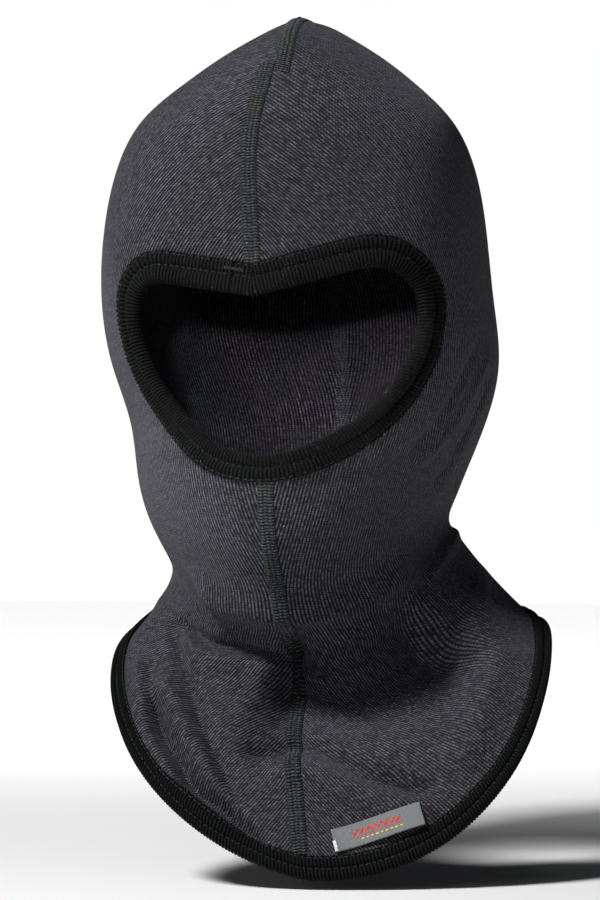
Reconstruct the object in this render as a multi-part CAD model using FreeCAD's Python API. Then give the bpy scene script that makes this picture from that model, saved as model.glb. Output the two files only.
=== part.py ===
import FreeCAD, Part
import math
import os

from FreeCAD import Vector

# A snow-sport balaclava: two mirrored knitted side panels joined by flatlock seams over
# the brow, crown and back and down the chin, with ribbed tape folded over the face
# opening and the hem. Millimetres. The origin is the crown of the head inside the hood,
# -Y is the face, +X is the wearer's left and everything hangs below z = 0.

# ---- Driving sizes ----
CLOTH = 1.2  # thickness of the double-sided knit
SEAM_GAP = 0.3  # the two panels butt this far apart inside a flatlock seam
SEAM_WIDTH = 6.8
THREAD_LAYER = 0.45  # thickness of the thread laid over a seam
NEEDLE_ROWS = (-2.7, -0.9, 0.9, 2.7)  # four needle threads across a flatlock seam
NEEDLE_WIDTH = 0.5
NEEDLE_HEIGHT = 0.3
AIR = 0.25  # clearance that keeps stacked layers from sharing volume
TAPE_AIR = 0.35  # clearance between the cloth and each limb of a tape
STITCH_AIR = 0.8  # clearance between a tape and the stitches that lie on it
SEAM_END_GAP = 1.9  # a seam stops this far short of a tape
TAPE_LIMB = 1.1  # thickness of one limb of the folded tape
TAPE_FACE = 11.0  # width of the tape around the face
TAPE_BROW_EXTRA = 2.0  # the tape is pulled wider over the brow
TAPE_HEM = 9.5
TAPE_FOLD = 1.8  # distance from the folded edge of the tape to the raw edge of the cloth
JOIN_GAP = 0.4  # the two ends of a tape butt this far apart
HEM_STITCH_ROWS = (4.2, 8.8)
FACE_STITCH_ROWS = (5.4, 10.2)
TACK_SIZE = (7.5, 1.0, 0.5)
TACK_AIR = 0.1  # the tacks lie this much clear of what is under them
STATION = 6.0  # spacing of the sections along a seam or tape
HEM_SECTIONS = 96

HEM_LABEL_SIZE = (37.0, 10.0, 0.7)
HEM_LABEL_ANGLE = 15.2  # degrees round from the chin seam towards the wearer's left
CARE_LABEL_SIZE = (24.0, 34.0, 0.6)
HEM_LABEL_TILT = 17.0  # its edges climb towards the wearer's left
LABEL_CLEARANCE = 0.4
HEM_LABEL_GAP = 3.0  # from the tape's edge up to the label's lower edge
CARE_LABEL_TOP = -232.0  # height of the care label's sewn edge
CARE_LABEL_GAP = 1.7
CARE_TACK_SIZE = (20.0, 1.0, 0.4)
CARE_TACK_RISE = 0.3  # the tack starts this far above the label's top edge

# Level rings of the hood from the crown down to the hem, on the middle of the cloth:
# height at the front, side and back, rise towards the wearer's left, sag of the left
# front of the bib, half width, forward bulge of the width, reach to the front and back,
# sideways offset of the ring, further offset of the front seam, and squareness (negative
# is pointed at the seams).
RINGS = [
    (0, 0, 0, 0, 0, 0, 0, 13, 15, 2, 0, -0.35),
    (-2.2, -2.2, -2.2, 0, 0, 9.5, 0, 27, 31, 2, 0.5, -0.35),
    (-6.5, -6.5, -6.5, 0, 0, 18.5, 0, 42, 47, 1.5, 1, -0.35),
    (-15, -15, -15, 0, 0, 32.5, 0, 57, 65, 1, 1, -0.25),
    (-27, -27, -27, 0, 0, 48.5, 0, 71, 79, 0.5, -1, -0.15),
    (-43, -43, -43, 0, 0, 65, 0, 84, 92, -0.5, -4.5, -0.04),
    (-64, -64, -64, 0, 0, 74.5, 0, 92, 101, -1, -5.5, 0.03),
    (-90, -90, -90, 0, 0, 78.8, 0, 96, 106, -1, -4, 0.1),
    (-118, -118, -118, 0, 0, 80.5, 0, 96, 106, 0, -3, 0.14),
    (-145, -145, -145, 0, 0, 79.5, 0, 99, 102, 3, -1, 0.12),
    (-170, -170, -168, 0, 0, 73, 0, 107, 93, 4, 1, 0.06),
    (-194, -191, -190, 1.5, 0, 68, 0, 112, 84, 1.5, 2.5, 0),
    (-217, -206, -208, 4, 0, 63, 0, 108, 77, 1.5, 3, 0),
    (-240, -217, -222, 6, 0, 58.5, 0, 90, 72, 4.5, 1.5, 0),
    (-259, -225, -234, 6, 0, 60, 0, 73, 71, 8, -1, 0),
    (-281, -235, -250, 5, 2, 65, 0.2, 76, 75, 12, -4, 0),
    (-314, -246, -272, 2, 4, 73, 0.35, 94, 84, 16.5, -4, 0.06),
    (-352, -255, -298, 0, 7, 80, 0.5, 112, 95, 21.5, -3, 0.13),
]
(FRONT, SIDE, BACK, RISE, SAG, WIDTH, BULGE, REACH_FRONT, REACH_BACK, OFFSET, SEAM,
 SQUARE) = range(12)

# The folded edge of the face opening, (x, z), from the brow point round by the wearer's
# left temple, under the nose and back over the right temple.
FACE_EDGE = [
    (-4, -119), (14, -114.5), (34, -109), (48, -107.5), (57, -113), (61, -124),
    (60, -137), (54, -151), (42, -165), (24, -177), (3, -183), (-16, -179),
    (-32, -166.5), (-45, -152), (-52, -138), (-53.5, -124), (-48.5, -114.5),
    (-36, -114), (-20, -116.5), (-4, -119),
]
FACE_JOIN = -9.0  # the ends of the face tape meet this far before the brow point
BROW_LEVEL = -132  # the face tape starts to widen at this height
BROW_BLEND = 14  # and has its full brow width this much higher


# ---- Curves through points ----
def bend(xs, ys):
    """Second derivatives of the natural cubic through the points."""
    n = len(xs)
    upper = [0.0] * n
    right = [0.0] * n
    for i in range(1, n - 1):
        h0 = xs[i] - xs[i - 1]
        h1 = xs[i + 1] - xs[i]
        pivot = 2 * (h0 + h1) - h0 * upper[i - 1]
        jump = (ys[i + 1] - ys[i]) / h1 - (ys[i] - ys[i - 1]) / h0
        upper[i] = h1 / pivot
        right[i] = (6 * jump - h0 * right[i - 1]) / pivot
    out = [0.0] * n
    for i in range(n - 2, 0, -1):
        out[i] = right[i] - upper[i] * out[i + 1]
    return out


class Smooth:
    """A natural cubic curve y(x)."""

    def __init__(self, xs, ys):
        self.xs = xs
        self.ys = ys
        self.bends = bend(xs, ys)

    def __call__(self, x):
        i = 0
        while i < len(self.xs) - 2 and x > self.xs[i + 1]:
            i += 1
        h = self.xs[i + 1] - self.xs[i]
        p = (self.xs[i + 1] - x) / h
        q = (x - self.xs[i]) / h
        sag = (p**3 - p) * self.bends[i] + (q**3 - q) * self.bends[i + 1]
        return p * self.ys[i] + q * self.ys[i + 1] + sag * h * h / 6


def running_length(points):
    total = [0.0]
    for a, b in zip(points, points[1:]):
        total.append(total[-1] + math.dist(a, b))
    return total


# ---- The cloth's shape ----
def ring_stations():
    """One parameter per ring, 0 at the crown and 1 at the hem, spaced like the cloth."""
    front = running_length([(r[FRONT], r[REACH_FRONT]) for r in RINGS])
    side = running_length([(r[SIDE], r[WIDTH]) for r in RINGS])
    both = [a + b for a, b in zip(front, side)]
    return [x / both[-1] for x in both]


STATIONS = ring_stations()
COLUMNS = [Smooth(STATIONS, [ring[k] for ring in RINGS]) for k in range(len(RINGS[0]))]


def ring_at(down):
    """The ring's numbers, in the order of RINGS; down is 0 at the crown and 1 at the hem."""
    return [column(down) for column in COLUMNS]


SEAM_POINT = 0.1  # share of the front's dip that comes to a point at the seam
SAG_SCALE = 2.6  # sin * cos**2 peaks 35 degrees round from the seam at 1 / 2.6


def on_ring(ring, turn):
    """A point of the ring; turn is the angle from the face towards the wearer's left."""
    s = math.sin(turn)
    c = math.cos(turn)
    front = max(c, 0.0)
    back = max(-c, 0.0)
    front_share = (1 - SEAM_POINT) * front**2 + SEAM_POINT * (1 - abs(s)) * (c > 0)
    sag = ring[SAG] * SAG_SCALE * s * front**2
    square = ring[SQUARE]
    reach = ring[REACH_BACK] + (ring[REACH_FRONT] - ring[REACH_BACK]) * (1 + c) / 2
    forward = c * (1 - back) ** 2
    width = ring[WIDTH] * (1 + square * c * c) * (1 + ring[BULGE] * forward)
    x = ring[OFFSET] + width * s + ring[SEAM] * front**2
    y = -reach * c * (1 + square * s * s)
    z = ring[SIDE] + ring[RISE] * s - sag
    z += (ring[FRONT] - ring[SIDE]) * front_share + (ring[BACK] - ring[SIDE]) * back**2
    return Vector(x, y, z)


def place(turn, down):
    """A point on the middle of the cloth."""
    return on_ring(ring_at(down), turn)


CROWN_ZONE = 0.12  # above this the outward direction follows a plain dome
DOME = (78.0, 98.0, 90.0)  # half axes of that dome
STEP = 0.004


def outward(turn, down):
    """Unit vector out of the cloth."""
    low = min(down + STEP, 1.0)
    high = max(low - 2 * STEP, 0.0)
    along = place(turn, low) - place(turn, high)
    across = place(turn + STEP, down) - place(turn - STEP, down)
    normal = along.cross(across)
    if down >= CROWN_ZONE:
        return normal.normalize()
    p = place(turn, down)
    dome = Vector(p.x / DOME[0]**2, p.y / DOME[1]**2, (p.z + DOME[2]) / DOME[2]**2)
    dome.normalize()
    if normal.Length < 1e-9:
        return dome
    share = down / CROWN_ZONE
    return (normal.normalize() * share + dome * (1 - share)).normalize()


def lifted(turn, down, lift):
    return place(turn, down) + outward(turn, down) * lift


# ---- Finding places on the cloth ----
BISECTIONS = 30
SIDE_REACH = math.radians(75)  # how far round from a centre seam a place is looked for
LOWEST_CROWN = 0.45  # crown places lie above this


def bisect(value, low, high, rising=True):
    for _ in range(BISECTIONS):
        middle = (low + high) / 2
        if (value(middle) > 0) == rising:
            high = middle
        else:
            low = middle
    return (low + high) / 2


def turn_at_x(x, down, centre):
    """The turn near the front (0) or back (pi) seam that has this x."""
    rising = centre == 0
    ring = ring_at(down)
    return bisect(lambda a: on_ring(ring, a).x - x, centre - SIDE_REACH, centre + SIDE_REACH, rising)


def front_place(x, z):
    """(turn, down) of the point on the face side with this x and z."""
    def miss(down):
        return place(turn_at_x(x, down, 0.0), down).z - z
    down = bisect(miss, 0.2, 0.95, rising=False)
    return turn_at_x(x, down, 0.0), down


def crown_place(x, y, side):
    """(turn, down) of the point near the crown with this x and y, on one side of the seam."""
    seam_turn = 0.0 if y < 0 else math.pi

    def turn_for(down):
        ring = ring_at(down)
        return bisect(lambda a: on_ring(ring, side * a).y - y, 0.0, math.pi)

    first = bisect(lambda d: abs(place(seam_turn, d).y) - abs(y), 0.0, LOWEST_CROWN)
    down = bisect(lambda d: side * (place(side * turn_for(d), d).x - x), first, LOWEST_CROWN)
    return side * turn_for(down), down


FLAT_CROWN = 0.1  # above this the rings are too level to be followed by x alone


def beside(turn, down, shift):
    """(turn, down) of the point shift mm towards +X from a point of the centre seam."""
    p = place(turn, down)
    if down < FLAT_CROWN:
        return crown_place(p.x + shift, p.y, 1 if shift >= 0 else -1)
    return turn_at_x(p.x + shift, down, turn), down


# ---- Solids ----
def skin(points):
    surface = Part.BSplineSurface()
    surface.interpolate(points)
    return surface


def borders(surface):
    u0, u1, v0, v1 = surface.bounds()
    curves = [surface.uIso(u0), surface.uIso(u1), surface.vIso(v0), surface.vIso(v1)]
    return [curve.toShape() for curve in curves]


def sheet(outer_grid, inner_grid):
    """A thin closed solid between two grids of points, with ruled walls at its borders."""
    outer = skin(outer_grid)
    inner = skin(inner_grid)
    along = 1  # both borders run the same way
    pairs = zip(borders(outer), borders(inner))
    walls = [Part.makeRuledSurface(a, b, along) for a, b in pairs]
    shell = Part.makeShell([outer.toShape(), inner.toShape()] + walls)
    shell.sewShape(0.02)
    solid = Part.makeSolid(shell)
    if solid.Volume < 0:
        solid.reverse()
    return solid


def strip(stations, offsets, low, high):
    """A band along stations of the cloth. offsets(i) gives (turn, down) across station i;
    low and high are the heights of its faces above the middle of the cloth."""
    places = [offsets(i) for i in range(len(stations))]
    top = [[lifted(turn, down, high) for turn, down in across] for across in places]
    bottom = [[lifted(turn, down, low) for turn, down in across] for across in places]
    return sheet(top, bottom)


def export(name, solids):
    shape = solids[0] if len(solids) == 1 else Part.makeCompound(solids)
    shape.exportStep(f"parts/{name}.step")
    total = sum(s.Volume for s in solids)
    valid = all(s.isValid() for s in solids)
    print(f"{name}: {len(solids)} solids, {total:.0f} mm3, valid {valid}")


# ---- Face opening ----
EDGE_LENGTHS = running_length(FACE_EDGE)
EDGE_X = Smooth(EDGE_LENGTHS, [p[0] for p in FACE_EDGE])
EDGE_Z = Smooth(EDGE_LENGTHS, [p[1] for p in FACE_EDGE])
EDGE_TOTAL = EDGE_LENGTHS[-1]


def face_edge(s):
    """(x, z) of the opening's folded edge, s mm round from the brow point."""
    s = s % EDGE_TOTAL
    return EDGE_X(s), EDGE_Z(s)


def brow_share(s):
    """1 over the brow, 0 round the cheeks and nose."""
    z = face_edge(s)[1]
    return min(1.0, max(0.0, (z - BROW_LEVEL) / BROW_BLEND))


def face_tape_width(s):
    return TAPE_FACE + TAPE_BROW_EXTRA * brow_share(s)


EDGE_STEP = 2.0  # half the length over which the edge's direction is taken
PROBE = 3.0  # distance over which the cloth's slope beside the edge is taken


def from_face_edge(s, distance):
    """(turn, down) of the point this far from the opening's edge along the cloth."""
    x, z = face_edge(s)
    ahead = face_edge(s + EDGE_STEP)
    behind = face_edge(s - EDGE_STEP)
    dx = -(ahead[1] - behind[1])
    dz = ahead[0] - behind[0]
    size = math.hypot(dx, dz)
    dx /= size
    dz /= size
    here = place(*front_place(x, z))
    near = place(*front_place(x + dx * PROBE, z + dz * PROBE))
    stretch = (near - here).Length / PROBE
    return front_place(x + dx * distance / stretch, z + dz * distance / stretch)


# ---- Hem ----
NEAR_HEM = 0.95  # the cloth's length per unit of down is measured from here to the hem


def hem_place(turn, distance):
    """(turn, down) of the point this far above the hem's folded edge."""
    length = (place(turn, 1.0) - place(turn, NEAR_HEM)).Length / (1.0 - NEAR_HEM)
    return turn, 1.0 - distance / length


# ---- Panels ----
PANEL_COLUMNS = 36
PANEL_ROWS = 60
SEAM_TURN = 0.0035  # the panels start this far round from the centre seams, in radians


def panel(side):
    """One side panel; side is 1 for the wearer's left and -1 for the right."""
    span = math.pi - 2 * SEAM_TURN
    turns = [SEAM_TURN + span * i / (PANEL_COLUMNS - 1) for i in range(PANEL_COLUMNS)]
    if side < 0:
        turns = [-turn for turn in reversed(turns)]
    away = Vector(side * SEAM_GAP / 2, 0, 0)

    def grid(lift):
        rows = []
        for turn in turns:
            last = hem_place(turn, TAPE_FOLD)[1]
            downs = [last * j / (PANEL_ROWS - 1) for j in range(PANEL_ROWS)]
            rows.append([lifted(turn, down, lift) + away for down in downs])
        return rows

    return sheet(grid(CLOTH / 2), grid(-CLOTH / 2)).cut(face_cutter())


CUTTER_POINTS = 72
CUTTER_START = -160.0  # y in front of the hood
CUTTER_DEPTH = 150.0  # stops before the back of the hood


def face_cutter():
    """The window that the face opening leaves in the panels, under the tape."""
    spots = []
    for i in range(CUTTER_POINTS):
        p = place(*from_face_edge(EDGE_TOTAL * i / CUTTER_POINTS, TAPE_FOLD))
        spots.append(Vector(p.x, CUTTER_START, p.z))
    curve = Part.BSplineCurve()
    curve.interpolate(spots, PeriodicFlag=True)
    window = Part.Face(Part.Wire([curve.toShape()]))
    return window.extrude(Vector(0, CUTTER_DEPTH, 0))


# ---- Flatlock seams ----
ROUTE_STEPS = 300


def seam_route(points):
    """Even stations (turn, down) along the centre of a seam through (turn, down) ends."""
    fine = []
    for (turn0, down0), (turn1, down1) in zip(points, points[1:]):
        for i in range(ROUTE_STEPS):
            share = i / ROUTE_STEPS
            fine.append((turn0 + (turn1 - turn0) * share, down0 + (down1 - down0) * share))
    fine.append(points[-1])
    length = running_length([tuple(place(*p)) for p in fine])
    count = max(4, round(length[-1] / STATION))
    route = []
    for i in range(count + 1):
        target = length[-1] * i / count
        k = min(range(len(fine)), key=lambda n: abs(length[n] - target))
        route.append(fine[k])
    return route


def seam_band(route, shift, half, centre, low, high):
    """A band of the seam; shift(share) moves it sideways along its route."""
    steps = (-half, -half / 2, 0.0, half / 2, half) if half > 1 else (-half, half)

    def offsets(i):
        turn, down = route[i]
        middle = shift(i / (len(route) - 1)) + centre
        return [beside(turn, down, middle + step) for step in steps]

    return strip(route, offsets, low, high)


def seam(name, route, shift):
    half_width = SEAM_WIDTH / 2
    cover_low = CLOTH / 2 + AIR
    cover_high = cover_low + THREAD_LAYER
    needle_low = cover_high + AIR
    cover = seam_band(route, shift, half_width, 0.0, cover_low, cover_high)
    looper = seam_band(route, shift, half_width, 0.0, -cover_high, -cover_low)
    needles = [
        seam_band(route, shift, NEEDLE_WIDTH / 2, row, needle_low, needle_low + NEEDLE_HEIGHT)
        for row in NEEDLE_ROWS
    ]
    export(f"{name}_cover_thread", [cover])
    export(f"{name}_looper_thread", [looper])
    export(f"{name}_needle_threads", needles)


STEP_JOIN = 3.9  # the brow and back seams pass side by side this far off centre
BROW_TOP = 0.15  # the brow seam ends here, as a share of the way down the hood
BACK_FRONT = 0.165  # the back seam comes over the crown and ends here
BROW_BEND = 0.4  # share of the brow seam that bends aside at its top
BACK_BEND = 0.12  # share of the back seam that bends aside at its front end


def brow_shift(share):
    return -STEP_JOIN * max(0.0, 1 - (1 - share) / BROW_BEND) ** 2


def back_shift(share):
    return STEP_JOIN * max(0.0, 1 - share / BACK_BEND) ** 2


def no_shift(share):
    return 0.0


def seams():
    brow_start = from_face_edge(0.0, face_tape_width(0.0) + SEAM_END_GAP)[1]
    chin_start = from_face_edge(EDGE_TOTAL / 2, TAPE_FACE + SEAM_END_GAP)[1]
    hem_front = hem_place(0.0, TAPE_HEM + SEAM_END_GAP)[1]
    hem_back = hem_place(math.pi, TAPE_HEM + SEAM_END_GAP)[1]
    back_ends = [(0.0, BACK_FRONT), (0.0, 0.0), (math.pi, 0.0), (math.pi, hem_back)]
    seam("brow_seam", seam_route([(0.0, brow_start), (0.0, BROW_TOP)]), brow_shift)
    seam("back_seam", seam_route(back_ends), back_shift)
    seam("chin_seam", seam_route([(0.0, chin_start), (0.0, hem_front)]), no_shift)


# ---- Folded tapes ----
TAPE_INSIDE = CLOTH / 2 + TAPE_AIR  # height of the inner faces of the limbs
TAPE_OUTSIDE = TAPE_INSIDE + TAPE_LIMB
TAPE_COLUMNS = 27


def tape_path(width, height, fold_at):
    """Even (distance from the fold, height) points round one face of the folded tape, from
    the edge of its outer limb round a half circle to the edge of its inner limb."""
    limb = width - fold_at - height
    half_fold = math.pi * height / 2
    path = []
    for i in range(TAPE_COLUMNS):
        walked = (limb + half_fold) * (2 * i / (TAPE_COLUMNS - 1) - 1)
        side = -1 if walked > 0 else 1
        past_fold = abs(walked) - half_fold
        if past_fold > 0:
            path.append((fold_at + height + past_fold, side * height))
        else:
            angle = abs(walked) / height
            path.append((fold_at + height * (1 - math.cos(angle)), side * height * math.sin(angle)))
    return path


def tape_solid(count, locate, width_at):
    def grid(height, fold_at):
        rows = []
        for i in range(count + 1):
            share = i / count
            path = tape_path(width_at(share), height, fold_at)
            rows.append([lifted(*locate(share, d), h) for d, h in path])
        return rows

    return sheet(grid(TAPE_OUTSIDE, 0.0), grid(TAPE_INSIDE, TAPE_LIMB))


def tape_thread(count, locate, first, last, low, high):
    """A line or band of stitching between two distances from the fold."""
    stations = list(range(count + 1))

    def offsets(i):
        share = i / count
        return [locate(share, last), locate(share, first)]

    return strip(stations, offsets, low, high)


def stitched_tape(name, count, locate, width_at, rows):
    top = TAPE_OUTSIDE + STITCH_AIR
    half = NEEDLE_WIDTH / 2
    export(f"{name}_tape", [tape_solid(count, locate, width_at)])
    lines = [
        tape_thread(count, locate, row - half, row + half, top, top + NEEDLE_HEIGHT)
        for row in rows
    ]
    export(f"{name}_needle_threads", lines)
    looper = tape_thread(count, locate, rows[0], rows[1], -top - NEEDLE_HEIGHT, -top)
    export(f"{name}_looper_thread", [looper])
    export(f"{name}_join_tack", [tape_tack(locate, sum(rows) / 2, top + TACK_AIR)])


def tape_tack(locate, distance, height):
    """The short bar of stitches across the butted ends of a tape."""
    nearby = 0.01  # share of the tape's length
    before = lifted(*locate(1 - nearby, distance), height)
    after = lifted(*locate(nearby, distance), height)
    middle = lifted(*locate(0.0, distance), height)
    along = (after - before).normalize()
    out = outward(*locate(0.0, distance))
    up = out.cross(along).normalize()
    out = along.cross(up)
    corner = middle - along * (TACK_SIZE[0] / 2) - up * (TACK_SIZE[1] / 2)
    return plate(corner, along, up, out, TACK_SIZE)


def face_tape():
    start = FACE_JOIN + JOIN_GAP / 2
    span = EDGE_TOTAL - JOIN_GAP

    def locate(share, distance):
        return from_face_edge(start + span * share, distance)

    def width_at(share):
        return face_tape_width(start + span * share)

    stitched_tape("face_binding", round(span / STATION), locate, width_at, FACE_STITCH_ROWS)


def hem_tape():
    gap = JOIN_GAP / RINGS[-1][REACH_BACK]

    def locate(share, distance):
        turn = -math.pi + gap / 2 + (2 * math.pi - gap) * share
        return hem_place(turn, distance)

    def width_at(share):
        return TAPE_HEM

    stitched_tape("hem_binding", HEM_SECTIONS, locate, width_at, HEM_STITCH_ROWS)


# ---- Labels ----
def plate(corner, along, up, out, size):
    """A flat label; corner is its lower left inner corner."""
    length, height, thick = size
    base = [corner, corner + along * length, corner + along * length + up * height, corner + up * height]
    return Part.Face(Part.makePolygon(base + base[:1])).extrude(out * thick)


def hem_label_frame():
    """The hem label's lower left inner corner and its directions along, up and outward."""
    turn = math.radians(HEM_LABEL_ANGLE)
    foot = hem_place(turn, TAPE_HEM + HEM_LABEL_GAP)
    head = hem_place(turn, TAPE_HEM + HEM_LABEL_GAP + HEM_LABEL_SIZE[1])
    lift = CLOTH / 2 + LABEL_CLEARANCE
    low = lifted(*foot, lift)
    rise = lifted(*head, lift) - low
    across = lifted(foot[0] + STEP, foot[1], lift) - lifted(foot[0] - STEP, foot[1], lift)
    out = across.cross(rise).normalize()
    level = Vector(0, 0, 1).cross(out).normalize()
    tilt = math.radians(HEM_LABEL_TILT)
    along = level * math.cos(tilt) + out.cross(level) * math.sin(tilt)
    up = out.cross(along)
    corner = low - along * (HEM_LABEL_SIZE[0] / 2)
    return corner, along, up, out


def hem_label():
    """A folded woven label lying on the bib, its lower edge caught above the hem tape."""
    export("hem_label", [plate(*hem_label_frame(), HEM_LABEL_SIZE)])


def care_label_top():
    """The middle of the care label's sewn edge, inside the back seam."""
    down = bisect(lambda d: place(math.pi, d).z - CARE_LABEL_TOP, 0.5, NEAR_HEM, rising=False)
    return lifted(math.pi, down, -CLOTH / 2 - 2 * AIR - THREAD_LAYER - CARE_LABEL_GAP)


def care_label():
    """A satin care label hanging inside from the back seam below the nape."""
    top = care_label_top()
    right = Vector(1, 0, 0)
    up = Vector(0, 0, 1)
    forward = Vector(0, -1, 0)
    corner = top - right * (CARE_LABEL_SIZE[0] / 2) - up * CARE_LABEL_SIZE[1]
    export("care_label", [plate(corner, right, up, forward, CARE_LABEL_SIZE)])
    tack_corner = top - right * (CARE_TACK_SIZE[0] / 2) + up * CARE_TACK_RISE - forward * TACK_AIR
    export("care_label_tack", [plate(tack_corner, right, up, forward * -1, CARE_TACK_SIZE)])


def main():
    os.makedirs("parts", exist_ok=True)
    export("left_panel", panel(1).Solids)
    export("right_panel", panel(-1).Solids)
    seams()
    face_tape()
    hem_tape()
    hem_label()
    care_label()


main()
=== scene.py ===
"""The looks of a knitted snow-sport balaclava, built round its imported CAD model.

Shapes are worked out in millimetres and become metres when a mesh is made. The cloth is
one smooth surface over (turn, down): turn is the angle round from the face towards the
wearer's left, and down runs from 0 at the crown to 1 at the hem.
"""
import math

import bpy
import numpy as np
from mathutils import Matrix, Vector
from mathutils.bvhtree import BVHTree

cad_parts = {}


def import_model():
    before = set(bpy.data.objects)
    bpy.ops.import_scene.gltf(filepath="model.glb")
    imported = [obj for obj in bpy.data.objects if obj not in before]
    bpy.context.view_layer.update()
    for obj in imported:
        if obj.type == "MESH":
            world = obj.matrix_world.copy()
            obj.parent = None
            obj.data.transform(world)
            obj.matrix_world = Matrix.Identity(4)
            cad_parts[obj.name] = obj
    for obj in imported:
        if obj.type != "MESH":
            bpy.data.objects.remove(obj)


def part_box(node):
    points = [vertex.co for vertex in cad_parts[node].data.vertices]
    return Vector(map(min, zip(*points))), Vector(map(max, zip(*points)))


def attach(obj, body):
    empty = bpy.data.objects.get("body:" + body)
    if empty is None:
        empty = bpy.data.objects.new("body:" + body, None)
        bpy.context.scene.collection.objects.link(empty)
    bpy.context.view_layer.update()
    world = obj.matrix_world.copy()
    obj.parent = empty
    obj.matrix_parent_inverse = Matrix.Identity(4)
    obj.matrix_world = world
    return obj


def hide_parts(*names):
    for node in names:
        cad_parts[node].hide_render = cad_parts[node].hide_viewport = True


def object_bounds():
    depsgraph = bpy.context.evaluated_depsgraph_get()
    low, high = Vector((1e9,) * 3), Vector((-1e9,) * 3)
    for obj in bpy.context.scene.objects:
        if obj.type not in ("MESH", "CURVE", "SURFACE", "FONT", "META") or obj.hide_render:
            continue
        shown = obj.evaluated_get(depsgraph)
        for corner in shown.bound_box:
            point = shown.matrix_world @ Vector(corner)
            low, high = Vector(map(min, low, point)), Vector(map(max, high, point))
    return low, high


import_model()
cad_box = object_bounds()

MM = 0.001
HOOD = "balaclava"
rng = np.random.default_rng(7)

# ---- Driving sizes, as in the CAD model ----
CLOTH = 1.2
TAPE_LIMB_INSIDE = 0.95
TAPE_LIMB_OUTSIDE = 2.05
TAPE_FACE = 11.0
TAPE_BROW_EXTRA = 2.0
TAPE_HEM = 9.5
TAPE_FOLD = 1.8
FACE_STITCH_ROWS = (5.4, 10.2)
HEM_STITCH_ROWS = (4.2, 8.8)
FACE_JOIN = -9.0
JOIN_GAP = 0.4
SEAM_WIDTH = 6.8
NEEDLE_ROWS = (-2.7, -0.9, 0.9, 2.7)
SEAM_END_GAP = 1.9
SEAM_OVERRUN = 1.6
# At the crown the brow and back seams pass side by side, STEP_JOIN aside. They end at these
# downs, and bend within these shares of their lengths.
STEP_JOIN = 3.9
BROW_TOP = 0.15
BACK_FRONT = 0.165
BROW_BEND = 0.6
BACK_BEND = 0.12
HEM_LABEL_SIZE = (37.0, 10.0, 0.7)
HEM_LABEL_ANGLE = 15.2
HEM_LABEL_TILT = 17.0
HEM_LABEL_GAP = 3.0
LABEL_CLEARANCE = 0.4
LABEL_AIR = 0.25

# Level rings of the hood from the crown down to the hem: height at the front, side and
# back, rise towards the wearer's left, sag of the left front of the bib, half width,
# forward bulge of the width, reach to the front and back, sideways offset, further
# offset of the front seam, and squareness.
RINGS = np.array([
    (0, 0, 0, 0, 0, 0, 0, 13, 15, 2, 0, -0.35),
    (-2.2, -2.2, -2.2, 0, 0, 9.5, 0, 27, 31, 2, 0.5, -0.35),
    (-6.5, -6.5, -6.5, 0, 0, 18.5, 0, 42, 47, 1.5, 1, -0.35),
    (-15, -15, -15, 0, 0, 32.5, 0, 57, 65, 1, 1, -0.25),
    (-27, -27, -27, 0, 0, 48.5, 0, 71, 79, 0.5, -1, -0.15),
    (-43, -43, -43, 0, 0, 65, 0, 84, 92, -0.5, -4.5, -0.04),
    (-64, -64, -64, 0, 0, 74.5, 0, 92, 101, -1, -5.5, 0.03),
    (-90, -90, -90, 0, 0, 78.8, 0, 96, 106, -1, -4, 0.1),
    (-118, -118, -118, 0, 0, 80.5, 0, 96, 106, 0, -3, 0.14),
    (-145, -145, -145, 0, 0, 79.5, 0, 99, 102, 3, -1, 0.12),
    (-170, -170, -168, 0, 0, 73, 0, 107, 93, 4, 1, 0.06),
    (-194, -191, -190, 1.5, 0, 68, 0, 112, 84, 1.5, 2.5, 0),
    (-217, -206, -208, 4, 0, 63, 0, 108, 77, 1.5, 3, 0),
    (-240, -217, -222, 6, 0, 58.5, 0, 90, 72, 4.5, 1.5, 0),
    (-259, -225, -234, 6, 0, 60, 0, 73, 71, 8, -1, 0),
    (-281, -235, -250, 5, 2, 65, 0.2, 76, 75, 12, -4, 0),
    (-314, -246, -272, 2, 4, 73, 0.35, 94, 84, 16.5, -4, 0.06),
    (-352, -255, -298, 0, 7, 80, 0.5, 112, 95, 21.5, -3, 0.13),
], float)
(FRONT, SIDE, BACK, RISE, SAG, WIDTH, BULGE, REACH_FRONT, REACH_BACK, OFFSET, SEAM,
 SQUARE) = range(12)

# The folded edge of the face opening, (x, z), from the brow point round by the left temple.
FACE_EDGE = np.array([
    (-4, -119), (14, -114.5), (34, -109), (48, -107.5), (57, -113), (61, -124),
    (60, -137), (54, -151), (42, -165), (24, -177), (3, -183), (-16, -179),
    (-32, -166.5), (-45, -152), (-52, -138), (-53.5, -124), (-48.5, -114.5),
    (-36, -114), (-20, -116.5), (-4, -119),
], float)

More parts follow.
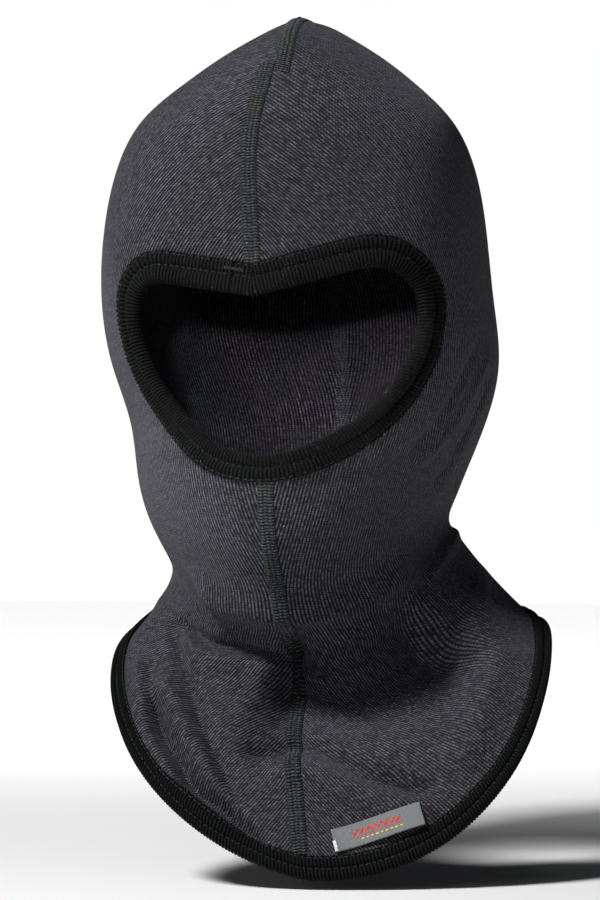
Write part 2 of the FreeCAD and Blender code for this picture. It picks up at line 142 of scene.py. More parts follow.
# Folds of the cloth. Each is the height of the fold (negative for a valley), its half width
# on either side of its line, and the line (across, height) drawn on an upright plane that
# faces FOLD_FACING degrees round towards the wearer's left.
FOLD_FACING = 9.0
FOLDS = [
    # where the neck tucks in behind the bib, from the right round to the left jaw
    (-6.0, 2.2, 3.6, [(-48, -234), (-47, -245), (-44, -255), (-37, -259), (-27, -261), (-16, -263),
        (-6, -264), (6, -265), (18, -263), (31, -259), (43, -251), (54, -242)]),
    (2.2, 4, 5, [(-51, -243), (-46, -261), (-38, -266), (-27, -268), (-14, -270), (0, -271)]),
    (6.0, 9, 9, [(-44, -226), (-36, -238), (-22, -244), (-6, -246), (14, -244), (32, -237),
        (48, -224)]),
    # the hollow of the bib in the shade of the chin
    (-21.0, 15, 21, [(-14, -268), (-4, -272), (8, -276), (22, -276), (36, -271), (50, -261),
        (60, -248)]),
    # folds of the bib on the wearer's right
    (-3.6, 4.2, 3.0, [(-53, -255), (-50, -263), (-47, -272), (-43, -283), (-39, -295), (-34, -305),
        (-29, -316), (-22, -325), (-12, -332)]),
    (-8.0, 3.6, 3.6, [(-62, -279), (-59, -288), (-55, -297), (-49, -305), (-45, -313), (-38, -320),
        (-30, -326), (-20, -334), (-10, -341)]),
    (3.6, 4, 4, [(-58, -269), (-54, -280), (-49, -291), (-41, -305), (-32, -317), (-22, -328),
        (-10, -337)]),
    (2.8, 3.6, 3.6, [(-67, -264), (-65, -279), (-62, -294), (-56, -306), (-49, -316), (-38, -327),
        (-24, -337)]),
    # the level fold over the chest
    (-6.0, 5, 4, [(-29, -299), (-20, -302), (-10, -301), (0, -299), (10, -302), (18, -307), (28, -312),
        (38, -315), (50, -316), (56, -309)]),
    (4.0, 5, 6, [(-18, -312), (-6, -311), (4, -311), (16, -316), (26, -320), (40, -324), (52, -324),
        (61, -317)]),
    # the hollow and roll on the wearer's left
    (-4.0, 7, 7, [(67, -243), (63, -259), (57, -278), (51, -296)]),
    (3.0, 7, 8, [(81, -259), (77, -278), (69, -298), (59, -315)]),
    (2.5, 3, 3, [(70, -222), (72, -231), (75, -243), (77, -253)]),
    (-3.0, 3, 3, [(71, -220), (76, -231), (81, -243), (83, -254)]),
    (1.6, 2.2, 2.8, [(65, -215), (63, -221), (58, -228), (50, -238)]),
    # strained folds of the left cheek
    (1.7, 3.4, 3.4, [(43, -189), (53, -181), (64, -168), (72, -154), (79, -137)]),
    (-1.5, 3, 3, [(40, -183), (51, -175), (60, -163), (68, -148), (75, -133)]),
    (-1.8, 3.4, 3.4, [(51, -198), (61, -188), (69, -175), (76, -160), (81, -145)]),
    (-1.4, 3, 3, [(66, -173), (66, -189), (64, -206), (63, -221)]),
]


# ---- Curves and surfaces ----
class Smooth:
    """Natural cubic curves through the rows of ys at the places xs."""

    def __init__(self, xs, ys):
        self.xs = np.asarray(xs, float)
        self.ys = np.asarray(ys, float)
        n = len(self.xs)
        h = np.diff(self.xs)
        system = np.eye(n)
        right = np.zeros(self.ys.shape)
        for i in range(1, n - 1):
            system[i, i - 1 : i + 2] = h[i - 1], 2 * (h[i - 1] + h[i]), h[i]
            rise = (self.ys[i + 1] - self.ys[i]) / h[i]
            right[i] = 6 * (rise - (self.ys[i] - self.ys[i - 1]) / h[i - 1])
        self.bends = np.linalg.solve(system, right)

    def __call__(self, x):
        x = np.asarray(x, float)
        i = np.clip(np.searchsorted(self.xs, x) - 1, 0, len(self.xs) - 2)
        h = self.xs[i + 1] - self.xs[i]
        p = (self.xs[i + 1] - x) / h
        q = (x - self.xs[i]) / h
        if self.ys.ndim > 1:
            p, q, h = p[..., None], q[..., None], h[..., None]
        sag = (p**3 - p) * self.bends[i] + (q**3 - q) * self.bends[i + 1]
        return p * self.ys[i] + q * self.ys[i + 1] + sag * h * h / 6


def running_length(points, axis=0):
    """The distance walked through points, along one axis of their grid."""
    steps = np.linalg.norm(np.diff(points, axis=axis), axis=-1)
    start = np.zeros_like(np.take(steps, [0], axis=axis))
    return np.concatenate([start, np.cumsum(steps, axis=axis)], axis=axis)


def ring_stations():
    """Each ring's place between crown and hem, 0 to 1, by the cloth's mean length."""
    front = running_length(RINGS[:, [FRONT, REACH_FRONT]])
    side = running_length(RINGS[:, [SIDE, WIDTH]])
    return (front + side) / (front + side)[-1]


RING_AT = Smooth(ring_stations(), RINGS)


def smooth_place(turn, down):
    """The unfolded cloth's middle, in millimetres."""
    ring = np.moveaxis(RING_AT(down), -1, 0)
    s = np.sin(turn)
    c = np.cos(turn)
    front = np.maximum(c, 0)
    back = np.maximum(-c, 0)
    front_share = 0.9 * front**2 + 0.1 * (1 - np.abs(s)) * (c > 0)
    sag = ring[SAG] * 2.6 * s * front**2
    reach = ring[REACH_BACK] + (ring[REACH_FRONT] - ring[REACH_BACK]) * (1 + c) / 2
    forward = c * (1 - back) ** 2
    width = ring[WIDTH] * (1 + ring[SQUARE] * c * c) * (1 + ring[BULGE] * forward)
    x = ring[OFFSET] + width * s + ring[SEAM] * front**2
    y = -reach * c * (1 + ring[SQUARE] * s * s)
    z = ring[SIDE] + ring[RISE] * s - sag
    z = z + (ring[FRONT] - ring[SIDE]) * front_share + (ring[BACK] - ring[SIDE]) * back**2
    return np.stack([x, y, z], -1)


def unit(v):
    return v / np.maximum(np.linalg.norm(v, axis=-1, keepdims=True), 1e-9)


def ease(x):
    x = np.clip(x, 0, 1)
    return x * x * (3 - 2 * x)


def bell(x):
    return np.exp(-x * x)


def crossed(a, b):
    """Two grids, of a down the rows and b along the columns."""
    return np.meshgrid(a, b, indexing="ij")


def between(grids, u, v):
    """Each grid read at the fractional places (u, v)."""
    rows, columns = grids[0].shape[:2]
    i = np.clip(u.astype(int), 0, rows - 2)
    j = np.clip(v.astype(int), 0, columns - 2)
    p, q = u - i, v - j
    if grids[0].ndim > 2:
        p, q = p[..., None], q[..., None]
    out = []
    for grid in grids:
        low = grid[i, j] * (1 - p) + grid[i + 1, j] * p
        high = grid[i, j + 1] * (1 - p) + grid[i + 1, j + 1] * p
        out.append(low * (1 - q) + high * q)
    return out


# ---- The folded cloth, on a fine grid ----
TURNS = 721
DOWNS = 641
turn_axis = np.linspace(-math.pi, math.pi, TURNS)
down_axis = np.linspace(0, 1, DOWNS)
# The round shape that the crown's normals are taken from, where the grid shrinks to a point.
DOME = np.array([78.0, 98.0, 90.0])
CROWN_ZONE = 0.12
FAR_SIDE = -25.0
FOLD_STEP = 2.0
FOLD_TAPER = 0.16
SIDE_BLEND = 1.5
DROP_FROM = 6.0
DROP_REACH = 14.0


def grid_normals(points, down):
    """Unit normals out of a grid of points over (turn, down), closed in turn."""
    ring = points[:-1]
    across = np.roll(ring, -1, 0) - np.roll(ring, 1, 0)
    across = np.concatenate([across, across[:1]])
    along = np.gradient(points, axis=1)
    normal = unit(np.cross(along, across))
    dome = unit((points + [0, 0, DOME[2]]) / DOME**2)
    share = np.clip(down / CROWN_ZONE, 0, 1)[..., None]
    return unit(normal * share + dome * (1 - share))


def fold_path(points, line):
    """The fold's line as a smooth 3-D path lying on the near side of the cloth."""
    facing = math.radians(FOLD_FACING)
    across = points[..., 0] * math.cos(facing) + points[..., 1] * math.sin(facing)
    towards = points[..., 0] * math.sin(facing) - points[..., 1] * math.cos(facing)
    far_side = np.where(towards < FAR_SIDE, 1e6, 0)
    found = []
    for a, z in line:
        miss = (across - a) ** 2 + (points[..., 2] - z) ** 2 + far_side
        found.append(points[np.unravel_index(miss.argmin(), miss.shape)])
    found = np.array(found)
    length = running_length(found)
    count = max(8, int(length[-1] / FOLD_STEP))
    return Smooth(length, found)(np.linspace(0, length[-1], count))


def add_fold(height_map, points, normals, fold):
    """Adds the fold's swell, which fades sideways and at both ends of its line."""
    rise, width_left, width_right, line = fold
    path = fold_path(points, line)
    reach = 3 * max(width_left, width_right)
    low = path.min(0) - reach
    high = path.max(0) + reach
    near = np.all((points > low) & (points < high), axis=-1)
    spots = points[near]
    best = np.full(len(spots), 1e9)
    which = np.zeros(len(spots), int)
    for k, p in enumerate(path):
        gap = ((spots - p) ** 2).sum(-1)
        closer = gap < best
        best[closer] = gap[closer]
        which[closer] = k
    step = running_length(path)[-1] / (len(path) - 1)
    ahead = unit(np.gradient(path, axis=0))[which]
    offset = spots - path[which]
    along = (offset * ahead).sum(-1)
    across = offset - ahead * along[:, None]
    side = (np.cross(normals[near], ahead) * across).sum(-1)
    width = width_right + (width_left - width_right) * ease(side / (2 * SIDE_BLEND) + 0.5)
    share = (which + np.clip(along / step, -0.5, 0.5)) / (len(path) - 1)
    taper = ease(share / FOLD_TAPER) * ease((1 - share) / FOLD_TAPER)
    distance = np.linalg.norm(across, axis=-1)
    beyond = np.maximum(np.abs(along) - step, 0)
    height_map[near] += rise * taper * bell(distance / width) * bell(beyond / width)


def ripples(turn, down):
    """The slack of the cloth: slow waves, more on the bib than on the head."""
    slack = 0.25 + 0.75 * ease((down - 0.55) / 0.35)
    slack = slack * ease(down / 0.2)
    wave = np.sin(5 * turn + 9 * down + 0.6) * np.sin(21 * down + 2 * turn)
    wave = wave + 0.6 * np.sin(9 * turn - 17 * down + 1.9)
    wave = wave + 0.5 * np.sin(13 * turn + 31 * down) * np.sin(4 * turn - 1.0)
    return 0.55 * slack * wave


class Cloth:
    """The folded cloth: points and normals anywhere on its middle, from a fine grid."""

    def __init__(self):
        turn, down = crossed(turn_axis, down_axis)
        base = smooth_place(turn, down)
        normals = grid_normals(base, down)
        rise = ripples(turn, down)
        for fold in FOLDS:
            add_fold(rise, base, normals, fold)
        self.base = base
        self.points = base + normals * rise[..., None]
        self.normals = grid_normals(self.points, down)
        self.tree = self.make_tree()

    def make_tree(self):
        points = self.points[::2, ::2]
        rows = points.shape[1]
        i, j = crossed(np.arange(points.shape[0] - 1), np.arange(rows - 1))
        first = (i * rows + j).ravel()
        faces = np.stack([first, first + 1, first + rows + 1, first + rows], -1)
        return BVHTree.FromPolygons(points.reshape(-1, 3).tolist(), faces.tolist())

    def at(self, turn, down):
        turn = (np.asarray(turn, float) + math.pi) % (2 * math.pi) - math.pi
        u = (turn - turn_axis[0]) / (turn_axis[1] - turn_axis[0])
        v = np.clip(np.asarray(down, float), 0, 1) * (DOWNS - 1)
        points, normals = between((self.points, self.normals), u, v)
        return points, unit(normals)

    def drop(self, points, normals):
        """Points moved along their normals onto the cloth's middle."""
        out = points.copy()
        flat = out.reshape(-1, 3)
        for k, (p, n) in enumerate(zip(points.reshape(-1, 3), normals.reshape(-1, 3))):
            start = Vector(p + n * DROP_FROM)
            hit = self.tree.ray_cast(start, Vector(-n), DROP_REACH)[0]
            if hit is not None:
                flat[k] = hit
        return out


cloth = Cloth()


# ---- The edge of the face opening and the hem ----
BROW_LEVEL = -132.0
BROW_BLEND = 14.0
NEAR_HEM = 0.05
EDGE_LENGTHS = running_length(FACE_EDGE)
EDGE_TOTAL = EDGE_LENGTHS[-1]
EDGE_AT = Smooth(EDGE_LENGTHS, FACE_EDGE)


def front_place(x, z):
    """(turn, down) of the points of the face side with this x and z, by Newton's method
    from a rough first guess."""
    turn = np.arcsin(np.clip(x / 90, -0.9, 0.9))
    down = np.clip(0.42 - (z + 110) / 250, 0.2, 0.9)
    step = 1e-4
    for _ in range(14):
        here = smooth_place(turn, down)[..., [0, 2]]
        by_turn = (smooth_place(turn + step, down)[..., [0, 2]] - here) / step
        by_down = (smooth_place(turn, down + step)[..., [0, 2]] - here) / step
        miss_x = x - here[..., 0]
        miss_z = z - here[..., 1]
        size = by_turn[..., 0] * by_down[..., 1] - by_turn[..., 1] * by_down[..., 0]
        move_turn = (miss_x * by_down[..., 1] - miss_z * by_down[..., 0]) / size
        move_down = (miss_z * by_turn[..., 0] - miss_x * by_turn[..., 1]) / size
        turn = turn + np.clip(move_turn, -0.2, 0.2)
        down = down + np.clip(move_down, -0.1, 0.1)
    return turn, down


def face_edge_place(s, distance):
    """(turn, down) at a distance from the opening's folded edge, s mm round from the brow."""
    s = s % EDGE_TOTAL
    edge = EDGE_AT(s)
    ahead = EDGE_AT((s + 2) % EDGE_TOTAL) - EDGE_AT((s - 2) % EDGE_TOTAL)
    out = unit(np.stack([-ahead[..., 1], ahead[..., 0]], -1))
    here = smooth_place(*front_place(edge[..., 0], edge[..., 1]))
    probe = 3.0
    near = edge + out * probe
    moved = smooth_place(*front_place(near[..., 0], near[..., 1]))
    stretch = np.linalg.norm(moved - here, axis=-1) / probe
    spot = edge + out * (distance / stretch)[..., None]
    return front_place(spot[..., 0], spot[..., 1])


def brow_share(s):
    """1 along the brow, where the tape is wider, and 0 below it."""
    z = EDGE_AT(s % EDGE_TOTAL)[..., 1]
    return np.clip((z - BROW_LEVEL) / BROW_BLEND, 0, 1)


def hem_edge_place(s, distance):
    """(turn, down) at a distance above the hem's fold; s is the turn in degrees."""
    turn = np.radians(s)
    hem, above = (smooth_place(turn, down + 0 * turn) for down in (1.0, 1 - NEAR_HEM))
    length = np.linalg.norm(hem - above, axis=-1) / NEAR_HEM
    return turn, 1 - distance / length


# ---- Meshes ----
def add_uv(mesh, name, values):
    layer = mesh.uv_layers.new(name=name)
    corners = np.zeros(len(mesh.loops), int)
    mesh.loops.foreach_get("vertex_index", corners)
    layer.data.foreach_set("uv", np.asarray(values, float)[corners].ravel())


def new_object(name, data):
    obj = bpy.data.objects.new(name, data)
    bpy.context.scene.collection.objects.link(obj)
    return obj


def new_mesh(name, points, faces, uv=None, smooth=True):
    """A mesh object from millimetre points. uv gives one coordinate per point."""
    mesh = bpy.data.meshes.new(name)
    mesh.from_pydata((np.asarray(points) * MM).tolist(), [], [list(f) for f in faces])
    if uv is not None:
        add_uv(mesh, "pattern", uv)
    mesh.polygons.foreach_set("use_smooth", [smooth] * len(mesh.polygons))
    mesh.validate()
    mesh.update()
    return new_object(name, mesh)


def solid_sheet(outer, inner, faces):
    """(points, faces) of a closed sheet between two layers with the same faces."""
    faces = np.asarray(faces)
    count = len(outer)
    edges = np.concatenate([faces[:, [k, (k + 1) % 4]] for k in range(4)])
    keys = set(map(tuple, edges.tolist()))
    rim = [(b, a, a + count, b + count) for a, b in keys if (b, a) not in keys and a != b]
    points = np.concatenate([outer, inner])
    back = faces[:, ::-1] + count
    return points, faces.tolist() + back.tolist() + rim


def grid_faces(rows, columns, closed=False):
    """Quads of a grid of rows x columns points; closed joins the last column to the first."""
    last = columns if closed else columns - 1
    i, j = crossed(np.arange(rows - 1), np.arange(last))
    j2 = (j + 1) % columns
    quad = [i * columns + j, i * columns + j2, (i + 1) * columns + j2, (i + 1) * columns + j]
    return np.stack(quad, -1).reshape(-1, 4)


def loop_solid(rings):
    """(points, faces) of rings of points, closed round each ring and capped at both ends."""
    count, size = rings.shape[:2]
    faces = grid_faces(count, size, closed=True).tolist()
    faces.append(list(range(size))[::-1])
    faces.append(list(range((count - 1) * size, count * size)))
    return rings.reshape(-1, 3), faces


def tubes(paths, ups, radius, flat=1.0, sides=6):
    """(points, faces) of many capped tubes. paths and ups are (tubes, points, 3)."""
    tubes_count, steps = paths.shape[:2]
    along = unit(np.gradient(paths, axis=1))
    side = unit(np.cross(ups, along))
    up = np.cross(along, side)
    share = np.linspace(0, 1, steps)
    ends = np.clip(np.minimum(share, 1 - share) * (steps - 1) + 0.35, 0, 1)
    size = (radius * ends)[None, :, None]
    rings = []
    for k in range(sides):
        a = 2 * math.pi * k / sides
        rings.append(paths + size * (math.cos(a) * side + math.sin(a) * flat * up))
    rings = np.stack(rings, 2)
    body = grid_faces(steps, sides, closed=True)
    cap = [list(range(sides))[::-1], list(range((steps - 1) * sides, steps * sides))]
    points = rings.reshape(-1, 3)
    faces = []
    for t in range(tubes_count):
        start = t * steps * sides
        faces += (body + start).tolist()
        faces += [[start + v for v in f] for f in cap]
    return points, faces


def joined(parts):
    """One (points, faces) from several."""
    points, faces, start = [], [], 0
    for p, f in parts:
        points.append(p)
        faces += [[v + start for v in face] for face in f]
        start += len(p)
    return np.concatenate(points), faces


def finish_piece(obj, body, slot, material, *nodes):
    obj.data.materials.append(material)
    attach(obj, body)
    if nodes:
        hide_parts(*nodes)


# ---- Material nodes ----
class Graph:
    """A short way to write a node material."""

    def __init__(self, name):
        self.material = bpy.data.materials.new(name)
        self.material.use_nodes = True
        self.tree = self.material.node_tree
        self.tree.nodes.clear()
        self.shader = self.tree.nodes.new("ShaderNodeBsdfPrincipled")
        output = self.tree.nodes.new("ShaderNodeOutputMaterial")
        self.tree.links.new(self.shader.outputs[0], output.inputs["Surface"])

    def node(self, kind, inputs=None, **settings):
        node = self.tree.nodes.new(kind)
        for key, value in settings.items():
            setattr(node, key, value)
        for key, value in (inputs or {}).items():
            self.put(node.inputs[key], value)
        return node

    def put(self, socket, value):
        if isinstance(value, bpy.types.NodeSocket):
            self.tree.links.new(value, socket)
        else:
            socket.default_value = value

    def math(self, operation, a, b=0.0, c=0.0):
        node = self.node("ShaderNodeMath", operation=operation)
        for socket, value in zip(node.inputs, (a, b, c)):
            self.put(socket, value)
        return node.outputs[0]

    def noise(self, vector, scale, detail=2.0, roughness=0.5):
        inputs = {"Vector": vector, "Scale": scale, "Detail": detail, "Roughness": roughness}
        return self.node("ShaderNodeTexNoise", inputs).outputs["Fac"]

    def mix(self, factor, a, b):
        node = self.node("ShaderNodeMix", data_type="RGBA")
        self.put(node.inputs[0], factor)
        self.put(node.inputs[6], a)
        self.put(node.inputs[7], b)
        return node.outputs[2]

    def ramp(self, value, low, high):
        """value remapped so that low gives 0 and high gives 1."""
        inputs = {"Value": value, "From Min": low, "From Max": high}
        return self.node("ShaderNodeMapRange", inputs, interpolation_type="SMOOTHSTEP").outputs[0]

    def scaled(self, vector, scale):
        return self.node("ShaderNodeMapping", {"Vector": vector, "Scale": scale}).outputs[0]

    def pattern(self):
        """The pattern coordinates of the piece, together and one by one."""
        uv = self.node("ShaderNodeUVMap", uv_map="pattern").outputs[0]
        split = self.node("ShaderNodeSeparateXYZ", {0: uv})
        return uv, split.outputs[0], split.outputs[1]

    def wave(self, operation, value, pitch=1.0):
        """SINE or COSINE of value, which repeats at that pitch."""
        return self.math(operation, self.math("MULTIPLY", value, 2 * math.pi / pitch))

    def halved(self, wave, half=0.5):
        """A wave of -1 to 1 as 0 to 1; a half of -0.5 turns it over."""
        return self.math("MULTIPLY_ADD", wave, half, 0.5)

    def bump(self, height, distance, strength=1.0):
        inputs = {"Height": height, "Distance": distance, "Strength": strength}
        self.put(self.shader.inputs["Normal"], self.node("ShaderNodeBump", inputs).outputs[0])

    def finish(self, color, roughness, sheen=0.0, sheen_tint=(1, 1, 1, 1), specular=0.3):
        self.put(self.shader.inputs["Base Color"], color)
        self.put(self.shader.inputs["Roughness"], roughness)
        self.put(self.shader.inputs["Specular IOR Level"], specular)
        self.put(self.shader.inputs["Sheen Weight"], sheen)
        self.put(self.shader.inputs["Sheen Roughness"], 0.4)
        self.put(self.shader.inputs["Sheen Tint"], sheen_tint)
        return self.material


def jersey_material():
    """Melange rib jersey. The pattern coordinates count (wales, courses) of the knit, and
    the drawn coordinate says how strongly the ribs show, in the bump and in the painted shade."""
    g = Graph("melange rib jersey")
    uv, wales, courses = g.pattern()
    sway = g.noise(g.scaled(uv, (0.09, 0.05, 1)), 1.0)
    wale = g.math("MULTIPLY_ADD", sway, 0.5, wales)
    drawn = g.node("ShaderNodeUVMap", uv_map="drawn").outputs[0]
    drawn = g.node("ShaderNodeSeparateXYZ", {0: drawn}).outputs[0]
    rib = g.halved(g.wave("COSINE", wale), g.math("MULTIPLY", drawn, 0.5))
    lean = g.math("PINGPONG", wale, 0.5)
    course = g.math("MULTIPLY_ADD", lean, 1.1, courses)
    loop = g.halved(g.wave("SINE", course))
    cell = g.node("ShaderNodeCombineXYZ", {0: g.math("ROUND", wale), 1: g.math("FLOOR", course)})
    stitch = g.node("ShaderNodeTexWhiteNoise", {"Vector": cell.outputs[0]}).outputs["Value"]
    streak = g.noise(g.scaled(uv, (0.07, 0.75, 1)), 1.0, 3.0, 0.7)
    fleck = g.noise(g.scaled(uv, (0.8, 0.8, 1)), 1.0, 3.0, 0.7)
    melange = g.math("MULTIPLY_ADD", stitch, 0.95, g.ramp(fleck, 0.34, 0.68))
    melange = g.math("MULTIPLY_ADD", g.ramp(streak, 0.3, 0.7), 0.3, melange)
    charcoal = (0.0085, 0.0087, 0.0125, 1)
    ash = (0.155, 0.151, 0.182, 1)
    yarn = g.mix(g.math("MULTIPLY", g.math("POWER", melange, 1.4), 0.34), charcoal, ash)
    raised = g.math("MULTIPLY", rib, g.math("MULTIPLY_ADD", loop, 0.45, 0.55))
    # painted shade: the colour goes near black where the knit is low, between the ribs and between the loops
    color = g.mix(g.ramp(raised, 0.12, 0.72), (0.0012, 0.0012, 0.0022, 1), yarn)
    fuzz = g.noise(g.scaled(uv, (3.0, 3.0, 1)), 1.0, 2.0)
    g.bump(g.math("MULTIPLY_ADD", fuzz, 0.25, raised), 0.0006)
    return g.finish(color, 0.78, 0.12, (0.5, 0.5, 0.6, 1), 0.2)


def tape_material():
    """Black ribbed tape; the ribs are in the mesh, and the knit and a painted shade between the ribs are in
    the pattern.
    """
    g = Graph("black rib tape")
    uv, ribs, across = g.pattern()
    rib = g.halved(g.wave("COSINE", ribs), -0.5)
    stitch = g.halved(g.wave("SINE", across, 0.85))
    lint = g.ramp(g.noise(g.scaled(uv, (1.6, 2.4, 1)), 1.0, 3.0, 0.7), 0.42, 0.75)
    # painted shade: darker in the hollows between the ribs and lighter on their crests, where the lint shows
    shade = g.mix(g.math("POWER", rib, 1.5), (0.0006, 0.0007, 0.0007, 1), (0.0056, 0.0060, 0.0059, 1))
    color = g.mix(g.math("MULTIPLY", lint, rib), shade, (0.0165, 0.018, 0.0172, 1))
    height = g.math("MULTIPLY_ADD", stitch, 0.6, g.math("MULTIPLY", lint, 0.5))
    g.bump(height, 0.00018)
    return g.finish(color, 0.82, 0.015, (0.5, 0.52, 0.52, 1), 0.05)


def thread_material(name, dark, light, sheen):
    """Textured thread: a fine twist and some lint."""
    g = Graph(name)
    place = g.node("ShaderNodeTexCoord").outputs["Object"]
    lint = g.noise(place, 900.0, 3.0, 0.7)
    twist = g.noise(g.scaled(place, (1.0, 1.0, 1.6)), 2400.0, 1.0)
    color = g.mix(g.ramp(lint, 0.35, 0.7), dark, light)
    g.bump(g.math("MULTIPLY_ADD", lint, 0.5, twist), 0.00012)
    return g.finish(color, 0.7, sheen, (0.6, 0.65, 0.65, 1), 0.25)


def woven_label_material():
    """Silver satin, woven so fine that only its crosswise grain shows."""
    g = Graph("silver satin weave")
    uv, along, up = g.pattern()
    weave = g.halved(g.math("MULTIPLY", g.wave("SINE", along, 0.28), g.wave("SINE", up, 0.42)))
    grain = g.noise(g.scaled(uv, (1.2, 4.5, 1)), 1.0, 3.0, 0.7)
    tone = g.math("MULTIPLY_ADD", g.ramp(grain, 0.3, 0.7), 0.65, g.math("MULTIPLY", weave, 0.35))
    color = g.mix(tone, (0.075, 0.084, 0.086, 1), (0.21, 0.222, 0.223, 1))
    g.bump(weave, 0.00008)
    material = g.finish(color, 0.42, 0.1, (1, 1, 1, 1), 0.5)
    g.shader.inputs["Anisotropic"].default_value = 0.5
    return material


def satin_label_material():
    """White satin with a fine warp."""
    g = Graph("white satin")
    uv, across, _ = g.pattern()
    warp = g.wave("SINE", across, 0.35)
    grain = g.noise(g.scaled(uv, (3.0, 0.6, 1)), 1.0, 3.0, 0.6)
    color = g.mix(g.ramp(grain, 0.3, 0.7), (0.62, 0.61, 0.58, 1), (0.80, 0.79, 0.76, 1))
    g.bump(g.math("MULTIPLY_ADD", grain, 0.5, warp), 0.00005)
    return g.finish(color, 0.38, 0.1, (1, 1, 1, 1), 0.5)


JERSEY = jersey_material()
TAPE = tape_material()
SEAM_THREAD = thread_material("grey seam thread", (0.014, 0.016, 0.017, 1), (0.066, 0.071, 0.075, 1), 0.03)
NEEDLE_THREAD = thread_material("dark needle thread", (0.006, 0.007, 0.007, 1), (0.022, 0.025, 0.025, 1), 0.0)
# painted shade: the seam's covering thread again, much darker, for the shade under and between the rungs
SHADED_SEAM_GROUND = thread_material("shaded seam ground", (0.0015, 0.0018, 0.0018, 1), (0.006, 0.007, 0.007, 1), 0.0)
TAPE_THREAD = thread_material("black tape thread", (0.006, 0.007, 0.007, 1), (0.030, 0.034, 0.033, 1), 0.05)
WOVEN_LABEL = woven_label_material()
SATIN_LABEL = satin_label_material()
RED_THREAD = thread_material("red label thread", (0.42, 0.028, 0.012, 1), (0.72, 0.075, 0.030, 1), 0.2)
YELLOW_THREAD = thread_material("yellow label thread", (0.48, 0.36, 0.06, 1), (0.74, 0.60, 0.16, 1), 0.2)
WHITE_THREAD = thread_material("white label thread", (0.55, 0.55, 0.54, 1), (0.85, 0.85, 0.83, 1), 0.2)


# ---- Panels ----
WALE_PITCH = 1.62
COURSE_PITCH = 1.05
# Cloth between the line over the ear and the centre seam, in mm of the flat panel, by down.
FRONT_WALES = Smooth(
    (0, 0.1, 0.2, 0.3, 0.42, 0.5, 0.6, 0.7, 0.76, 0.8, 0.9, 1.0),
    (13, 44, 74, 112, 156, 160, 158, 147, 137, 140, 192, 245),
)
BACK_WALES = Smooth((0, 0.2, 0.42, 0.55, 0.7, 0.8, 0.9, 1.0), (15, 90, 156, 152, 140, 138, 160, 200))


def pattern_grid():
    """(wale, course) of the knit at each point of the cloth's grid: the grain of the flat
    panel runs straight down over the ear and meets the centre seams at an angle. Wales are
    counted from the ear, negative towards the face, in the share of the panel's own width."""
    base = cloth.base
    round_front = running_length(base)
    middle = TURNS // 2
    wales = np.zeros((TURNS, DOWNS))
    front_cloth = FRONT_WALES(down_axis)
    back_cloth = BACK_WALES(down_axis)
    for side in (-1, 1):
        ear = middle + side * (TURNS // 4)
        distance = side * (round_front - round_front[ear])
        to_front = -distance[middle]
        to_back = distance[middle + side * (TURNS // 2)]
        share = distance / np.where(distance < 0, to_front, to_back)
        both = share * np.where(distance < 0, front_cloth, back_cloth)
        own = slice(middle, TURNS) if side > 0 else slice(0, middle + 1)
        wales[own] = both[own]
    return np.stack([wales / WALE_PITCH, running_length(base, axis=1) / COURSE_PITCH], -1)


pattern = pattern_grid()


def inside_polygon(points, polygon):
    inside = np.zeros(len(points), bool)
    for a, b in zip(polygon, np.roll(polygon, -1, 0)):
        crosses = (a[1] > points[:, 1]) != (b[1] > points[:, 1])
        where = a[0] + (points[:, 1] - a[1]) * (b[0] - a[0]) / (b[1] - a[1] + 1e-12)
        inside ^= crosses & (points[:, 0] < where)
    return inside


def nearest_on_polygon(points, polygon):
    best = np.full(len(points), 1e9)
    found = points.copy()
    for a, b in zip(polygon, np.roll(polygon, -1, 0)):
        ab = b - a
        t = np.clip(((points - a) @ ab) / (ab @ ab), 0, 1)
        spot = a + t[:, None] * ab
        gap = ((points - spot) ** 2).sum(-1)
        closer = gap < best
        best[closer] = gap[closer]
        found[closer] = spot[closer]
    return found


# About the cloth's half width and its length in mm, which make (turn, down) a fair flat map.
TURN_SCALE = 85.0
DOWN_SCALE = 425.0
HALF_JOIN = 0.15  # half the gap between the panels' edges


def opening_polygon():
    """The panels' cut edge round the face, on the flat map."""
    s = np.linspace(0, EDGE_TOTAL, 360, endpoint=False)
    turn, down = face_edge_place(s, TAPE_FOLD + 0 * s)
    return np.stack([turn * TURN_SCALE, down * DOWN_SCALE], -1)


